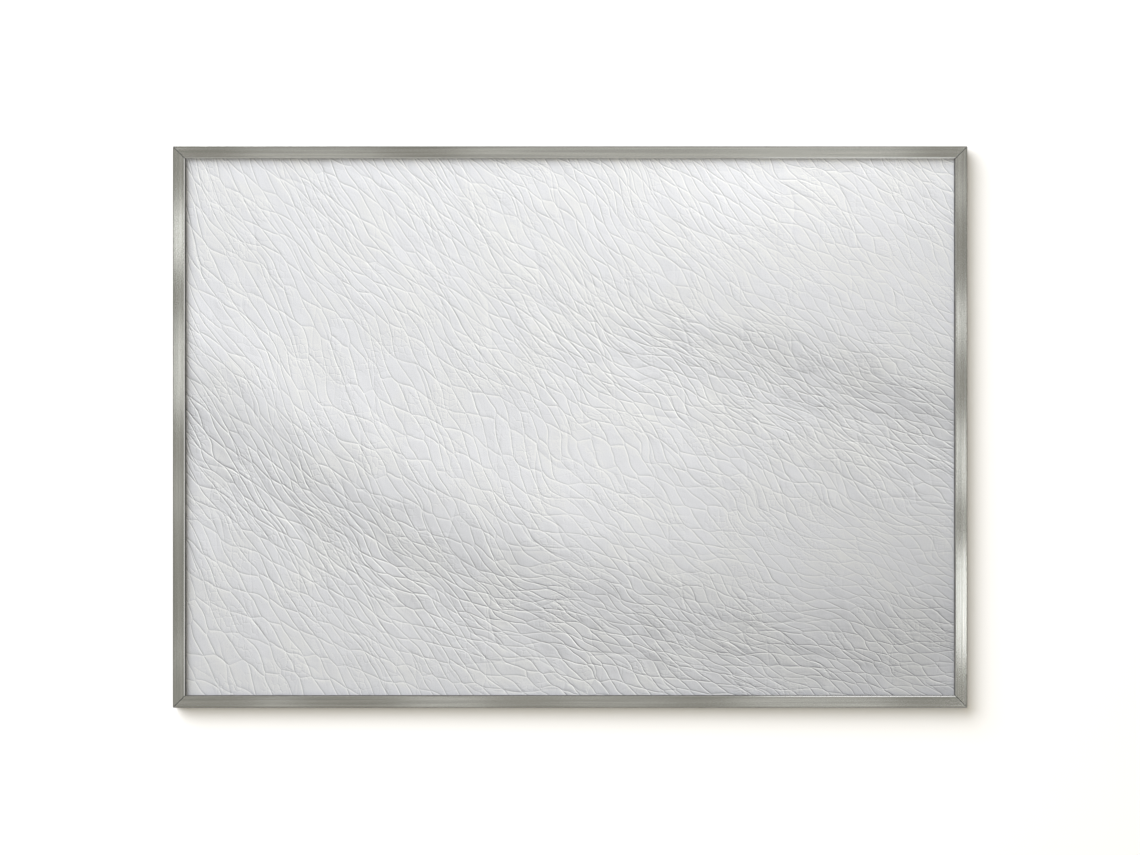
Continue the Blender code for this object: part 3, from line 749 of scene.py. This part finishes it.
shade = do_math(tree, "MULTIPLY_ADD", relief, contrast, tone)
ink = do_math(tree, "MULTIPLY", do_math(tree, "POWER", shade, INK_POWER), PRINT_WHITE)
warmth = do_math(tree, "ADD", relief, ease(tree, noise(tree, place, 0.060, 2.0), 0.35, 0.65, -0.1, 0.1))
tint = mix_colours(tree, ease(tree, warmth, -0.05, 0.25), COOL_INK, WARM_INK)
colour = do_vector(tree, "SCALE", tint, ink)
set_shader(tree, shader, {"Base Color": colour, "Roughness": 0.55, "Specular IOR Level": 0.3})
dress(leather, "printed_film")

# %% [markdown]
# ## The glass
#
# The pane is clear glass, 4 millimetres thick. In a path tracer a solid pane would throw a black shadow on
# the print behind it, because the rays that look for a lamp can't bend through it. So the shader is glass for
# the eye and for mirrors, and plain clear for shadow rays and for light that the print sends out. Both take a
# little of the light, with a faint green, and wiped glass is never quite even, so its roughness has smudges.

# %% Clear glass
glass, tree, shader, place = new_material("clear_glass")
smudge = ease(tree, noise(tree, place, 0.09, 4.0, 0.6), 0.45, 0.75, 0.0, 0.012)
set_shader(
    tree, shader,
    {
        "Base Color": (0.985, 0.995, 0.99, 1),
        "Roughness": smudge,
        "IOR": 1.5,
        "Transmission Weight": 1.0,
        "Metallic": 0.0,
    },
)
rays = add_node(tree, "LightPath").outputs
unseen = do_math(tree, "MAXIMUM", rays["Is Shadow Ray"], rays["Is Diffuse Ray"])
passing = add_node(tree, "BsdfTransparent", {"Color": (0.93, 0.94, 0.935, 1)})
two_ways = add_node(tree, "MixShader", {0: unseen, 1: shader.outputs[0], 2: passing.outputs[0]})
attach(tree, tree.nodes["Material Output"].inputs["Surface"], two_ways.outputs[0])
dress(glass, "glass_pane")

# %% [markdown]
# ## Rubber
#
# The gaskets, the setting blocks and the wall bumpers are black moulded rubber: matt, a little grey where
# dust settles, with a fine pitted skin. The pieces are small and the camera is far away, so noise of two
# sizes is enough: patches a finger wide for the dust, and specks of half a millimetre for the pits.

# %% Black rubber
RUBBER_DARK, RUBBER_DUSTY = (0.100, 0.100, 0.100, 1), (0.175, 0.175, 0.172, 1)
RUBBER_WORN = (0.15, 0.15, 0.148, 1)

rubber, tree, shader, place = new_material("black_rubber")
pits = noise(tree, place, 0.0006, 3.0, 0.6)
dust = ease(tree, noise(tree, place, 0.012, 4.0, 0.6), 0.45, 0.75)
colour = mix_colours(tree, dust, RUBBER_DARK, RUBBER_DUSTY)
worn = use_group(tree, edge_wear, {"Radius": 0.0004, "Place": place})["Mask"]
colour = mix_colours(tree, do_math(tree, "MULTIPLY", worn, 0.4), colour, RUBBER_WORN)
rough = ease(tree, pits, 0.3, 0.7, 0.62, 0.82)
set_shader(tree, shader, {"Base Color": colour, "Roughness": rough}, pits, 0.00005)
dress(rubber, *names_with("gasket_"), *names_with("setting_block_"), *names_with("wall_bumper_"))

# %% [markdown]
# ## The back: hardboard
#
# The rear cover is hardboard: wood fibre pressed on a wire screen, which leaves a fine square net in its
# rough side. A scanned picture of it would have to be tiled, and the repeats would show on so large a
# sheet. Two waves multiplied give the net instead. Two stretched noises, one upright and one level and both
# bent by a third, give the long soft fibres.

# %% Brown hardboard
SCREEN_PITCH = 0.0016
BOARD_DARK, BOARD_PALE = (0.16, 0.095, 0.055, 1), (0.31, 0.20, 0.12, 1)
BOARD_BLOTCH = (0.20, 0.13, 0.08, 1)

hardboard, tree, shader, place = new_material("brown_hardboard")
x, _, z = split(tree, place)
turn = 2 * math.pi / SCREEN_PITCH
wires = [do_math(tree, "SINE", do_math(tree, "MULTIPLY", way, turn)) for way in (x, z)]
screen = do_math(tree, "MULTIPLY", *wires)
bent = sway(tree, place, place, 0.010, 0.020)
fibres = noise(tree, do_vector(tree, "MULTIPLY", bent, (1, 1, 0.16)), 0.0012, 4.0, 0.7)
cross = noise(tree, do_vector(tree, "MULTIPLY", bent, (0.16, 1, 1)), 0.0014, 3.0, 0.7)
fibre = do_math(tree, "MULTIPLY", do_math(tree, "ADD", fibres, cross), 0.5)
colour = mix_colours(tree, ease(tree, fibre, 0.38, 0.62), BOARD_DARK, BOARD_PALE)
blotch = ease(tree, noise(tree, place, 0.14, 3.0), 0.35, 0.70, 0.0, 0.35)
colour = mix_colours(tree, blotch, colour, BOARD_BLOTCH)
rough = ease(tree, fibre, 0.3, 0.7, 0.72, 0.9)
height = do_math(tree, "MULTIPLY_ADD", screen, 0.35, fibre)
set_shader(tree, shader, {"Base Color": colour, "Roughness": rough}, height, 0.00012)
dress(hardboard, "back_panel")

# %% [markdown]
# ## Steel parts
#
# The sheet behind the print is galvanised, with the frost-like flowers of zinc. Keys and hangers are zinc
# plated, bright with a faint gold and blue bloom. The clips are spring steel, blued by heat in soft bands,
# and the grub screws are black oxide with bare corners.
#
# All four are the same plain metal to the shader. What tells them apart is their colour, their roughness
# and one pattern each, and the shared edge wear rubs the plated and blackened ones bare at their corners.

# %% Galvanised sheet
galvanised, tree, shader, place = new_material("galvanised_steel")
inputs = {"Vector": place, "Scale": 90, "Randomness": 1.0}
flower = add_node(tree, "TexVoronoi", inputs).outputs["Color"]
leaf = split(tree, flower)[0]
frost = noise(tree, place, 0.003, 4.0, 0.7)
colour = mix_colours(tree, leaf, (0.52, 0.53, 0.54, 1), (0.70, 0.71, 0.71, 1))
rough = ease(tree, do_math(tree, "ADD", leaf, frost), 0.4, 1.4, 0.28, 0.5)
set_shader(tree, shader, {"Base Color": colour, "Metallic": 1.0, "Roughness": rough}, frost, 0.00002)
dress(galvanised, "steel_sheet")

# %% Zinc plate
zinc, tree, shader, place = new_material("zinc_plated_steel")
bloom = ease(tree, noise(tree, place, 0.018, 3.0, 0.6), 0.35, 0.65)
colour = mix_colours(tree, bloom, (0.68, 0.66, 0.58, 1), (0.60, 0.63, 0.68, 1))
stain = ease(tree, noise(tree, place, 0.006, 4.0, 0.65), 0.55, 0.75, 0.0, 0.5)
colour = mix_colours(tree, stain, colour, (0.42, 0.42, 0.41, 1))
worn = use_group(tree, edge_wear, {"Radius": 0.0003, "Place": place})["Mask"]
colour = mix_colours(tree, do_math(tree, "MULTIPLY", worn, 0.6), colour, (0.80, 0.80, 0.78, 1))
grain = noise(tree, place, 0.0007, 2.0)
rough = ease(tree, stain, 0.0, 0.5, 0.27, 0.48)
set_shader(tree, shader, {"Base Color": colour, "Metallic": 1.0, "Roughness": rough}, grain, 0.00002)
dress(zinc, *names_with("corner_key_"), "hanger_left", "hanger_right")

# %% Blued springs and black screws
blued, tree, shader, place = new_material("blued_spring_steel")
heat = ease(tree, noise(tree, place, 0.030, 2.0), 0.35, 0.65)
colour = mix_colours(tree, heat, (0.16, 0.19, 0.27, 1), (0.30, 0.27, 0.26, 1))
worn = use_group(tree, edge_wear, {"Radius": 0.0003, "Place": place})["Mask"]
colour = mix_colours(tree, do_math(tree, "MULTIPLY", worn, 0.7), colour, (0.55, 0.54, 0.52, 1))
lines = use_group(tree, drawn_lines, {"Place": place, "Squeeze": (0.05, 1, 0.05)})
rough = ease(tree, lines["Lines"], 0.3, 0.7, 0.24, 0.36)
set_shader(tree, shader, {"Base Color": colour, "Metallic": 1.0, "Roughness": rough}, lines["Lines"], 0.00001)
dress(blued, *names_with("spring_clip_"))

oxide, tree, shader, place = new_material("black_oxide_steel")
mottled = noise(tree, place, 0.0012, 3.0)
colour = mix_colours(tree, mottled, (0.030, 0.030, 0.032, 1), (0.065, 0.062, 0.060, 1))
worn = use_group(tree, edge_wear, {"Radius": 0.00015, "Place": place})["Mask"]
colour = mix_colours(tree, do_math(tree, "MULTIPLY", worn, 0.7), colour, (0.42, 0.41, 0.39, 1))
rough = ease(tree, mottled, 0.3, 0.7, 0.32, 0.5)
set_shader(tree, shader, {"Base Color": colour, "Metallic": 1.0, "Roughness": rough}, mottled, 0.00001)
dress(oxide, *names_with("corner_screw_"), *names_with("hanger_lock_screw_"))
